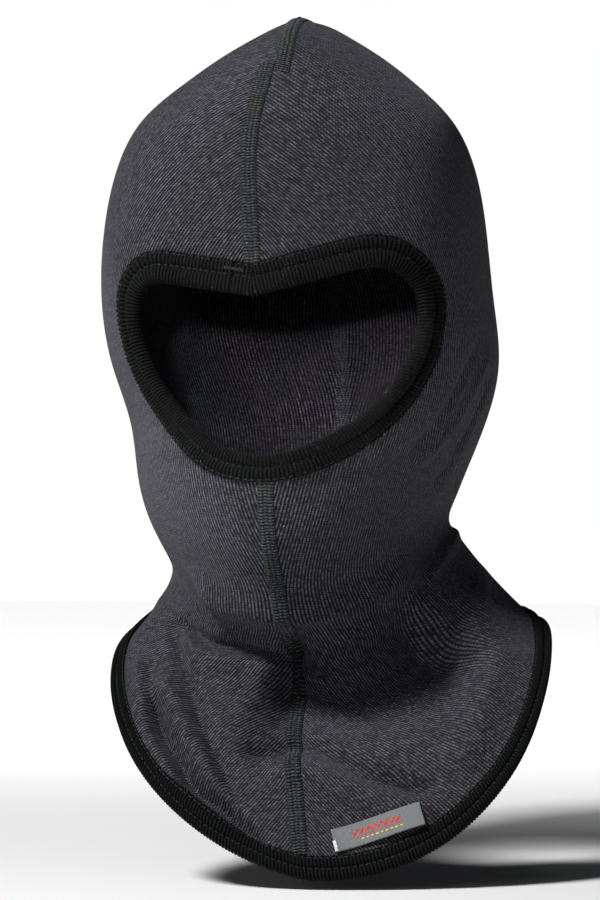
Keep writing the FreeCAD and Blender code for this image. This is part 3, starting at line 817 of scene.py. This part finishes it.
def panel(side, name, node):
    """One knitted side panel, cut out round the face, half a join's gap from the middle."""
    middle = TURNS // 2
    columns = np.arange(middle, TURNS, 2) if side > 0 else np.arange(0, middle + 1, 2)
    rows = np.arange(0, DOWNS, 2)
    turn, down = crossed(turn_axis[columns], down_axis[rows])
    uv = pattern[np.ix_(columns, rows)].reshape(-1, 2).copy()
    last = hem_edge_place(np.degrees(turn), TAPE_FOLD + 0 * turn)[1]
    down = np.minimum(down, last)
    flat = np.stack([turn * TURN_SCALE, down * DOWN_SCALE], -1).reshape(-1, 2)
    polygon = opening_polygon()
    inside = inside_polygon(flat, polygon)
    faces = grid_faces(len(columns), len(rows))[:, ::-1]
    used, faces = np.unique(faces[~inside[faces].all(axis=1)], return_inverse=True)
    rim = used[inside[used]]
    flat[rim] = nearest_on_polygon(flat[rim], polygon)
    points, normals = cloth.at(flat[used, 0] / TURN_SCALE, flat[used, 1] / DOWN_SCALE)
    points = points + np.array([side * HALF_JOIN, 0, 0])
    outer = points + normals * CLOTH / 2
    inner = points - normals * CLOTH / 2
    solid, solid_faces = solid_sheet(outer, inner, faces.reshape(-1, 4))
    obj = new_mesh(name, solid, solid_faces, np.concatenate([uv[used], uv[used]]))
    place_down = flat[used, 1] / DOWN_SCALE
    # drawn: how strongly the ribs and their painted shade show, less at the crown and on the lower bib
    drawn = 0.3 + 0.7 * ease((place_down - 0.12) / 0.2) - 0.45 * ease((place_down - 0.78) / 0.1)
    add_uv(obj.data, "drawn", np.tile(np.stack([drawn, drawn], -1), (2, 1)))
    finish_piece(obj, HOOD, "jersey", JERSEY, node)


# ---- Flatlock seams ----
SEAM_STEP = 0.5
RUNG_PITCH = 1.25


def read_along(s, length, table):
    """The table's columns at the distances s, where its rows lie at the distances length."""
    return np.stack([np.interp(s, length, column) for column in table.T], -1)


class Seam:
    """The centre line of a flatlock seam through (turn, down) ends, with its frame.
    shift(share) moves it sideways along its length."""

    def __init__(self, ends, shift):
        share = np.linspace(0, 1, 400)[:, None]
        fine = np.concatenate([np.array([a]) * (1 - share) + np.array([b]) * share
                               for a, b in zip(ends, ends[1:])])
        points = smooth_place(fine[:, 0], fine[:, 1])
        keep = np.concatenate([[True], np.linalg.norm(np.diff(points, axis=0), axis=1) > 1e-6])
        length = running_length(points[keep])
        count = int(round(length[-1] / SEAM_STEP))
        self.length = np.linspace(0, length[-1], count + 1)
        spots = read_along(self.length, length, fine[keep])
        middle, normal = cloth.at(spots[:, 0], spots[:, 1])
        for _ in range(6):
            normal[1:-1] = unit(normal[:-2] + 2 * normal[1:-1] + normal[2:])
        along = unit(np.gradient(middle, axis=0))
        side = unit(np.cross(along, normal))
        if side[len(side) // 2, 0] < 0:
            side = -side
        moved = middle + side * shift(self.length / self.length[-1])[:, None]
        self.middle = cloth.drop(moved, normal)
        self.normal = normal
        self.side = side

    def frame(self, s):
        return [read_along(s, self.length, table) for table in (self.middle, self.side, self.normal)]

    def lay(self, s, across, height):
        """Points on the cloth: s along, across sideways and height above its middle."""
        middle, side, normal = self.frame(s)
        spot = cloth.drop(middle + side * across[..., None], normal)
        return spot + normal * height[..., None], normal


def seam_band(seam, low, high):
    """The ground of covering thread, thick in the middle and thin at its sides."""
    s = np.arange(0, seam.length[-1], 1.2)
    w = np.linspace(-SEAM_WIDTH / 2, SEAM_WIDTH / 2, 9)
    s_grid, w_grid = crossed(s, w)
    swell = np.sqrt(np.clip(1 - (w / (SEAM_WIDTH / 2)) ** 4, 0, 1))
    top = low + (high - low) * swell
    spot, normal = seam.lay(s_grid, w_grid, 0 * s_grid)
    outer = spot + normal * (top + 0 * s_grid)[..., None]
    inner = spot + normal * low
    faces = grid_faces(len(s), len(w))
    direction = np.cross(outer[0, 1] - outer[0, 0], outer[1, 0] - outer[0, 0]) @ normal[0, 0]
    if direction < 0:
        faces = faces[:, ::-1]
    return solid_sheet(outer.reshape(-1, 3), inner.reshape(-1, 3), faces)


def seam_rungs(seam, base, side):
    """The covering threads that cross the seam, pinched down at each needle row."""
    s = np.arange(0.6, seam.length[-1] - 0.4, RUNG_PITCH)
    s = s + rng.uniform(-0.12, 0.12, len(s))
    w = np.linspace(-SEAM_WIDTH / 2 + 0.15, SEAM_WIDTH / 2 - 0.15, 17)
    s_grid, w_grid = crossed(s, w)
    column = (w + NEEDLE_ROWS[3]) / (NEEDLE_ROWS[1] - NEEDLE_ROWS[0])
    swell = np.abs(np.sin(math.pi * column))
    zigzag = 0.14 * np.sin(math.pi * column)
    height = side * (base + 0.36 * swell**0.7 + 0 * s_grid)
    path, normal = seam.lay(s_grid + zigzag, w_grid, height)
    return tubes(path, normal * side, 0.15 + 0.32 * swell, 0.75, 5)


def seam_needles(seam, base):
    """The four rows of needle stitches that sink into the covering threads."""
    parts = []
    start = np.arange(0.3, seam.length[-1] - RUNG_PITCH, RUNG_PITCH)
    s_grid = start[:, None] + np.linspace(0.12, RUNG_PITCH - 0.12, 5)
    arch = 0.1 * np.sin(math.pi * np.linspace(0, 1, 5))
    for row in NEEDLE_ROWS:
        path, normal = seam.lay(s_grid, row + 0 * s_grid, base + arch + 0 * s_grid)
        parts.append(tubes(path, normal, 0.15, 0.9, 5))
    return joined(parts)


def flatlock(name, seam):
    """The threads of one seam, outside and inside."""
    ground = CLOTH / 2 + 0.02
    pieces = [
        # the ground band wears the dark copy of the seam thread: painted shade between the rungs
        ("ground", "cover_thread", SHADED_SEAM_GROUND, seam_band(seam, ground, ground + 0.32)),
        ("rungs", "cover_thread", SEAM_THREAD, seam_rungs(seam, ground + 0.2, 1)),
        ("stitches", "needle_threads", NEEDLE_THREAD, seam_needles(seam, ground + 0.3)),
        ("rungs", "looper_thread", SEAM_THREAD, seam_rungs(seam, ground + 0.05, -1)),
    ]
    for part, node, material, (points, faces) in pieces:
        obj = new_mesh(f"{name}_{node}_{part}", points, faces)
        finish_piece(obj, HOOD, "seam_thread", material, f"{name}_{node}")


def seam_end(locate, s, width):
    """The down of a seam's end beside a tape of that width."""
    return locate(np.array([s]), np.array([width + SEAM_END_GAP - SEAM_OVERRUN]))[1][0]


def seams():
    """The brow and back seams pass side by side at the crown, so each bends aside there."""
    brow_start = seam_end(face_edge_place, 0.0, TAPE_FACE + TAPE_BROW_EXTRA)
    chin_start = seam_end(face_edge_place, EDGE_TOTAL / 2, TAPE_FACE)
    hem_front = seam_end(hem_edge_place, 0.0, TAPE_HEM)
    hem_back = seam_end(hem_edge_place, 180.0, TAPE_HEM)

    def brow_shift(share):
        return -STEP_JOIN * np.maximum(0, (share - BROW_BEND) / (1 - BROW_BEND)) ** 2

    def back_shift(share):
        return STEP_JOIN * np.maximum(0, (BACK_BEND - share) / BACK_BEND) ** 2

    brow = Seam([(0, brow_start), (0, BROW_TOP)], brow_shift)
    back = Seam([(0, BACK_FRONT), (0, 0), (math.pi, 0), (math.pi, hem_back)], back_shift)
    chin = Seam([(0, chin_start), (0, hem_front)], np.zeros_like)
    flatlock("brow_seam", brow)
    flatlock("back_seam", back)
    flatlock("chin_seam", chin)


# ---- Folded tapes ----
RIB_PITCH = 1.5
TAPE_POINTS = 46
STITCH_PITCH = 2.6
STITCH_LENGTH = 2.0
THREAD = 0.27
NEEDLE_SINK = 0.75
LOOPER_LIFT = 0.12
TACK_LIFT = 0.3
TACK_LENGTH = 7.5
WALKED_AT = 3.0  # a tape's length is measured this far in from its fold


def tape_path(width, height, fold_at):
    """Round the tape's face, from its outer raw edge over the fold to its inner one: the
    distance from the fold, the height, the normal's same two parts, and the side."""
    limb = width - fold_at - height
    half_fold = math.pi * height / 2
    walked = np.linspace(-1, 1, TAPE_POINTS)[None, :] * (limb + half_fold)[:, None]
    past = np.abs(walked) - half_fold
    sign = np.where(walked > 0, -1.0, 1.0)
    angle = np.minimum(np.abs(walked) / height, math.pi / 2)
    distance = np.where(past > 0, fold_at + height + past, fold_at + height * (1 - np.cos(angle)))
    lift = np.where(past > 0, sign * height, sign * height * np.sin(angle))
    normal_d = np.where(past > 0, 0, -np.cos(angle))
    normal_h = np.where(past > 0, sign, sign * np.sin(angle))
    return distance, lift, normal_d, normal_h, sign


def dipped(distance, width, rows):
    """How the tape swells and dips across its width: full on the fold, pulled in by the
    two needle rows, thin at its raw edge."""
    free = 0.9 * np.sin(math.pi * np.clip(distance / rows[0], 0, 1)) ** 0.7
    band = 0.35 * np.sin(math.pi * np.clip((distance - rows[0]) / (rows[1] - rows[0]), 0, 1))
    dips = -1.0 * bell((distance - rows[0]) / 0.6) - 0.9 * bell((distance - rows[1]) / 0.5)
    edge = -0.3 * ease((distance - width + 1.2) / 1.2)
    return free + band + dips + edge


def folded_tape(locate, s, along, width, rows):
    """(points, faces, uv) of a ribbed tape folded over an edge. s are the stations in the
    locate function's units and along their distances in mm."""
    ribs = np.abs(np.sin(math.pi * along / RIB_PITCH)) ** 0.8
    ragged = 0.22 * np.sin(along * 2.1) * np.sin(along * 0.73 + 1)
    widths = width + 0.25 * ribs + ragged
    distance, lift, normal_d, normal_h, sign = tape_path(widths, TAPE_LIMB_OUTSIDE, 0.0)
    swell = dipped(distance, widths[:, None], (rows[0][:, None], rows[1][:, None]))
    swell = np.where(sign > 0, swell, 0.5 * swell)
    swell = swell + 0.6 * (ribs[:, None] - 0.5)
    outer_d = distance + normal_d * swell
    outer_h = lift + normal_h * swell
    inner = tape_path(widths - 0.15, TAPE_LIMB_INSIDE, TAPE_LIMB_OUTSIDE - TAPE_LIMB_INSIDE)
    keep = np.linspace(0, TAPE_POINTS - 1, 13).astype(int)[::-1]
    inner_d, inner_h = inner[0][:, keep], inner[1][:, keep]
    all_d = np.concatenate([outer_d, inner_d], 1)
    all_h = np.concatenate([outer_h, inner_h], 1)
    turn, down = locate(s, all_d)
    middle, normal = cloth.at(turn, down)
    points, faces = loop_solid(middle + normal * all_h[..., None])
    round_tape = running_length(np.stack([all_d, all_h], -1), axis=1)
    uv = np.stack([np.repeat(along[:, None] / RIB_PITCH, all_d.shape[1], 1), round_tape], -1)
    return points, faces, uv.reshape(-1, 2)


def on_cloth(locate, s_at, along, distance):
    """(points, normals) of the cloth's middle under places of a tape."""
    return cloth.at(*locate(s_at(along), distance))


def row_stitches(locate, s_at, total, row_at, k):
    """The needle stitches of row k, lying in a dip of the tape."""
    start = np.arange(0.6, total - STITCH_PITCH, STITCH_PITCH)
    step = np.linspace(0, STITCH_LENGTH, 6)
    along = start[:, None] + step[None, :]
    middle, normal = on_cloth(locate, s_at, along, row_at(along, k))
    height = TAPE_LIMB_OUTSIDE - NEEDLE_SINK + 0.16 * np.sin(math.pi * np.linspace(0, 1, 6))
    return tubes(middle + normal * height[..., None], normal, THREAD, 0.9, 6)


def looper_zigzag(locate, s_at, total, rows_at):
    """The looping thread inside, crossing from one needle row to the other and back."""
    start = np.arange(0.6, total - STITCH_PITCH, STITCH_PITCH)
    share = np.linspace(0, 1, 13)
    wave = 0.5 - 0.5 * np.cos(2 * math.pi * share)
    along = start[:, None] + STITCH_PITCH * share[None, :]
    first, last = rows_at(along)
    middle, normal = on_cloth(locate, s_at, along, first + (last - first) * wave)
    return tubes(middle - normal * (TAPE_LIMB_OUTSIDE + LOOPER_LIFT), -normal, 0.24, 0.8, 5)


def tack(locate, s_at, distance):
    """A bar of close stitches over the butted ends of a tape, that far from its fold."""
    along = np.linspace(-TACK_LENGTH / 2, TACK_LENGTH / 2, 15)
    across = np.linspace(-0.62, 0.62, 7)
    along, across = crossed(along, across)
    middle, normal = on_cloth(locate, s_at, along, distance + across)
    height = TAPE_LIMB_OUTSIDE + TACK_LIFT + 0.22 * np.sin(math.pi * np.linspace(0, 1, 7))
    return tubes(middle + normal * height[..., None], normal, THREAD, 0.8, 6)


def stitched_tape(name, locate, s_at, total, width, rows, extra_at):
    """A folded tape with its stitching. s_at turns mm along the tape into locate's units,
    and extra_at gives how much wider the tape is there."""

    def width_at(along):
        return width + extra_at(s_at(along))

    def row_at(along, k):
        return rows[k] + extra_at(s_at(along))

    def rows_at(along):
        return row_at(along, 0), row_at(along, 1)

    along = np.arange(0, total, RIB_PITCH / 7)
    s = s_at(along)
    points, faces, uv = folded_tape(locate, s[:, None], along, width_at(along), rows_at(along))
    tape = new_mesh(f"{name}_ribbed_tape", points, faces, uv)
    finish_piece(tape, HOOD, "rib_tape", TAPE, f"{name}_tape")
    MM * 2 * float(np.mean(width_at(along)))
    needles = [row_stitches(locate, s_at, total, row_at, k) for k in range(2)]
    loops = looper_zigzag(locate, s_at, total, rows_at)
    bar = tack(locate, s_at, float(np.mean(rows_at(np.array([0.0])))))
    for part, mesh in (("needle_threads", joined(needles)), ("looper_thread", loops), ("join_tack", bar)):
        obj = new_mesh(f"{name}_{part}_stitches", *mesh)
        finish_piece(obj, HOOD, "tape_thread", TAPE_THREAD, f"{name}_{part}")


class PlaceTable:
    """face_edge_place on a fine table, so that many points are quick."""

    def __init__(self):
        self.lowest = -2.0
        stations = np.arange(0, EDGE_TOTAL + 1.5)
        s, d = crossed(stations, np.arange(self.lowest, 18.0))
        self.turn, self.down = face_edge_place(s, d)

    def __call__(self, s, distance):
        s, distance = np.broadcast_arrays(s % EDGE_TOTAL, distance)
        return between((self.turn, self.down), s, distance - self.lowest)


def face_tape():
    table = PlaceTable()
    fine = np.linspace(0, EDGE_TOTAL, 800)
    real = running_length(cloth.at(*table(FACE_JOIN + fine, 0 * fine + WALKED_AT))[0])

    def s_at(along):
        return FACE_JOIN + JOIN_GAP / 2 + np.interp(along % real[-1], real, fine)

    def extra_at(s):
        return TAPE_BROW_EXTRA * brow_share(s)

    stitched_tape("face_binding", table, s_at, real[-1] - JOIN_GAP, TAPE_FACE, FACE_STITCH_ROWS, extra_at)


def hem_tape():
    fine = np.linspace(-180, 180, 1441)
    real = running_length(cloth.at(*hem_edge_place(fine, WALKED_AT))[0])

    def s_at(along):
        return np.interp((along + JOIN_GAP / 2) % real[-1], real, fine)

    stitched_tape("hem_binding", hem_edge_place, s_at, real[-1] - JOIN_GAP, TAPE_HEM, HEM_STITCH_ROWS,
                  np.zeros_like)


# ---- Labels ----
def hem_label_frame():
    """Corner and directions of the hem label, as in the CAD model."""
    turn = math.radians(HEM_LABEL_ANGLE)
    foot_down, head_down = (
        hem_edge_place(np.array([HEM_LABEL_ANGLE]), TAPE_HEM + HEM_LABEL_GAP + up)[1][0]
        for up in (0, HEM_LABEL_SIZE[1]))
    foot, head = (smooth_place(turn, down) for down in (foot_down, head_down))
    aside_step, down_step = 0.02, 0.003
    aside = smooth_place(turn + aside_step, foot_down) - smooth_place(turn - aside_step, foot_down)
    below = smooth_place(turn, foot_down + down_step) - smooth_place(turn, foot_down - down_step)
    low = foot + unit(np.cross(aside, -below)) * (CLOTH / 2 + LABEL_CLEARANCE)
    out = unit(np.cross(aside, head - foot))
    level = unit(np.cross((0, 0, 1), out))
    tilt = math.radians(HEM_LABEL_TILT)
    along = level * math.cos(tilt) + np.cross(out, level) * math.sin(tilt)
    up = np.cross(out, along)
    return low - along * HEM_LABEL_SIZE[0] / 2, along, up, out


def label_point(frame_of, a, b, height):
    """A point of the curved label: a along, b up, height above its inner face, in mm. The
    label follows the cloth under it with a plain curve along its length."""
    corner, along, up, out = frame_of
    a, b, height = np.broadcast_arrays(a, b, height)
    sag = np.interp(a, *LABEL_SAG)
    return corner + along * a[..., None] + up * b[..., None] + out * (height + sag)[..., None]


def label_sag(frame_of):
    """How far the cloth stands out from the label's plane, smoothed along its length."""
    corner, along, up, out = frame_of
    places = np.linspace(0, HEM_LABEL_SIZE[0], 13)
    highest = []
    for a in places:
        spots = np.array([corner + along * a + up * b for b in np.linspace(0, HEM_LABEL_SIZE[1], 6)])
        found = cloth.drop(spots, np.broadcast_to(out, spots.shape))
        highest.append(((found - spots) @ out).max() + CLOTH / 2 + LABEL_AIR)
    curve = np.polynomial.Polynomial.fit(places, highest, 3)
    fine = np.linspace(0, HEM_LABEL_SIZE[0], 60)
    lift = max(0.0, float((np.array(highest) - curve(places)).max()))
    return fine, curve(fine) + lift


LABEL_SAG = label_sag(hem_label_frame())


def hem_label():
    """A woven label folded along its top edge, with a stitched motif."""
    frame_of = hem_label_frame()
    length, tall, thick = HEM_LABEL_SIZE
    fold = np.linspace(-1, 1, 33)
    half = thick / 2
    straight = tall - half
    walked = np.abs(fold) * (straight + math.pi * half / 2)
    sign = np.where(fold < 0, 1.0, -1.0)
    bend = np.clip(walked / half, 0, math.pi / 2)
    past = walked - math.pi * half / 2
    b = np.where(past > 0, tall - half - past, tall - half + half * np.cos(bend))
    h = half + np.where(past > 0, sign * half, sign * half * np.sin(bend))
    inner_b = b - np.where(past > 0, 0, 0.12)
    inner_h = half + (h - half) * 0.35
    ring_b = np.concatenate([b, inner_b[::-1]])
    ring_h = np.concatenate([h, inner_h[::-1]])
    a = np.linspace(0, length, 75)
    a_grid, b_grid = crossed(a, ring_b)
    points, faces = loop_solid(label_point(frame_of, a_grid, b_grid, ring_h))
    obj = new_mesh("hem_label_woven", points, faces, np.stack([a_grid, b_grid], -1).reshape(-1, 2))
    finish_piece(obj, "hem_label_flap", "woven_label", WOVEN_LABEL, "hem_label")
    hem_label_motif(frame_of)


def label_threads(name, material, paths, up, radius, flat=0.4, sides=8):
    """Threads sewn to the hem label along paths (threads, points, 3)."""
    points, faces = tubes(paths, np.broadcast_to(up, paths.shape), radius, flat, sides)
    finish_piece(new_mesh(name, points, faces), "hem_label_flap", "woven_label", material)


def hem_label_motif(frame_of):
    """A plain zigzag over a row of dashes, and whipped white threads at one end."""
    share = np.linspace(0, 1, 121)
    front = HEM_LABEL_SIZE[2] + 0.02
    out = frame_of[3]
    peak = np.abs(((share * 8) % 1) * 2 - 1)
    b = 4.7 + 2.2 * peak + 0.5 * np.sin(share * math.pi)
    zigzag = label_point(frame_of, 7.5 + 20.5 * share, b, front)[None]
    label_threads("hem_label_zigzag", RED_THREAD, zigzag, out, 0.36)
    underline = label_point(frame_of, np.linspace(7.0, 28.5, 60), 4.1, front)[None]
    label_threads("hem_label_underline", RED_THREAD, underline, out, 0.16)
    along = 11.0 + 2.0 * np.arange(9)[:, None] + np.linspace(0, 1.3, 6)
    label_threads("hem_label_dashes", YELLOW_THREAD, label_point(frame_of, along, 2.6, front), out, 0.32)
    turn = np.linspace(-0.6, math.pi + 0.6, 9)
    b = np.linspace(0.4, 4.6, 11)[:, None] + 0.1 * turn
    height = HEM_LABEL_SIZE[2] / 2 + 0.5 * np.cos(turn)
    whips = label_point(frame_of, 0.55 - 0.85 * np.sin(turn), b, height)
    label_threads("hem_label_whipping", WHITE_THREAD, whips, frame_of[2], 0.24, 0.9, 6)


def care_label():
    """A satin care label inside the nape, in the place of its CAD solid, with a slow wave."""
    low, high = (np.array(v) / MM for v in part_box("care_label"))
    a = np.linspace(0, 1, 31)
    b = np.linspace(0, 1, 43)
    a_grid, b_grid = crossed(a, b)
    x = low[0] + (high[0] - low[0]) * a_grid
    z = high[2] - (high[2] - low[2]) * b_grid
    wave = 0.9 * b_grid**1.5 * np.sin(2.6 * b_grid + 2.0 * a_grid)
    outer = np.stack([x, low[1] - wave + 0 * x, z], -1).reshape(-1, 3)
    inner = np.stack([x, high[1] - wave + 0 * x, z], -1).reshape(-1, 3)
    points, faces = solid_sheet(outer, inner, grid_faces(len(a), len(b))[:, ::-1])
    uv = np.stack([x - low[0], z - low[2]], -1).reshape(-1, 2)
    obj = new_mesh("care_label_satin", points, faces, np.concatenate([uv, uv]))
    finish_piece(obj, "care_label_flap", "satin_label", SATIN_LABEL, "care_label")


def care_label_tack():
    """The close upright stitches that hold the care label to the seam."""
    low, high = (np.array(v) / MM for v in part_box("care_label_tack"))
    x = np.linspace(low[0] + 0.3, high[0] - 0.3, 28)
    z = np.linspace(low[2], high[2], 6)
    x_grid, z_grid = crossed(x, z)
    path = np.stack([x_grid, 0 * x_grid + (low[1] + high[1]) / 2, z_grid], -1)
    up = np.broadcast_to((0.0, -1.0, 0.0), path.shape)
    obj = new_mesh("care_label_tack_stitches", *tubes(path, up, 0.34, 0.6, 6))
    finish_piece(obj, HOOD, "tape_thread", TAPE_THREAD, "care_label_tack")


# ---- Stage, lights and camera ----
# In metres, degrees and, for the lens and its sensor, millimetres.
CAMERA_AZIMUTH = 9.0
CAMERA_DISTANCE = 1.9
CAMERA_HEIGHT = -0.181
CAMERA_LENS = 179.3
CAMERA_SENSOR = 36.0
HEAD_MIDDLE = (0.0, 0.0, -0.16)
FLOOR_GAP = 0.004
FLOOR_X = (-2.4, 2.4)
FLOOR_Y = (-1.2, 3.2)
STUDIO_LIGHT = 0.022


def stage():
    floor_z = cad_box[0][2] - FLOOR_GAP
    points = np.array([(x, y, floor_z) for y in FLOOR_Y for x in FLOOR_X]) / MM
    floor = new_mesh("floor", points, [[0, 1, 3, 2]], smooth=False)
    g = Graph("pale floor")
    g.finish((0.80, 0.80, 0.80, 1), 0.7, specular=0.2)
    floor.data.materials.append(g.material)


def area_light(name, place, target, size, power, spread=180.0):
    light = bpy.data.lights.new(name, "AREA")
    light.shape = "SQUARE"
    light.size = size
    light.energy = power
    light.spread = math.radians(spread)
    obj = new_object(name, light)
    obj.location = place
    direction = Vector(target) - obj.location
    obj.rotation_euler = direction.to_track_quat("-Z", "Y").to_euler()


def lights():
    area_light("key", (-0.72, -1.04, 1.08), HEAD_MIDDLE, 0.36, 50)
    area_light("side", (-1.0, -1.45, 0.1), HEAD_MIDDLE, 0.5, 2.5)
    area_light("fill", (0.3, -2.4, -0.1), HEAD_MIDDLE, 0.8, 0.6)
    area_light("opening_light", (0.12, -1.6, -0.02), (0.0, 0.0, -0.155), 0.08, 0.035, 5.0)
    area_light("floor_light", (0.0, 2.1, 2.6), (0.0, 2.11, -0.36), 3.2, 38, 24.0)


def world():
    """A white backdrop that casts only a dim, even light."""
    studio = bpy.data.worlds.new("studio")
    bpy.context.scene.world = studio
    studio.use_nodes = True
    tree = studio.node_tree
    tree.nodes.clear()
    backgrounds = []
    for color, strength in (((1, 1, 1, 1), 1.0), ((0.9, 0.95, 1, 1), STUDIO_LIGHT)):
        background = tree.nodes.new("ShaderNodeBackground")
        background.inputs["Color"].default_value = color
        background.inputs["Strength"].default_value = strength
        backgrounds.append(background)
    seen, lit = backgrounds
    path = tree.nodes.new("ShaderNodeLightPath")
    mix = tree.nodes.new("ShaderNodeMixShader")
    output = tree.nodes.new("ShaderNodeOutputWorld")
    tree.links.new(path.outputs["Is Camera Ray"], mix.inputs[0])
    tree.links.new(lit.outputs[0], mix.inputs[1])
    tree.links.new(seen.outputs[0], mix.inputs[2])
    tree.links.new(mix.outputs[0], output.inputs[0])
    bpy.context.scene.view_settings.view_transform = "Standard"


def camera():
    data = bpy.data.cameras.new("camera")
    data.sensor_fit = "VERTICAL"
    data.sensor_height = CAMERA_SENSOR
    data.lens = CAMERA_LENS
    obj = new_object("camera", data)
    a = math.radians(CAMERA_AZIMUTH)
    obj.location = (CAMERA_DISTANCE * math.sin(a), -CAMERA_DISTANCE * math.cos(a), CAMERA_HEIGHT)
    obj.rotation_euler = (math.radians(90), 0, a)
    bpy.context.scene.camera = obj


panel(1, "left_panel_cloth", "left_panel")
panel(-1, "right_panel_cloth", "right_panel")
seams()
face_tape()
hem_tape()
hem_label()
care_label()
care_label_tack()
stage()
lights()
world()
camera()
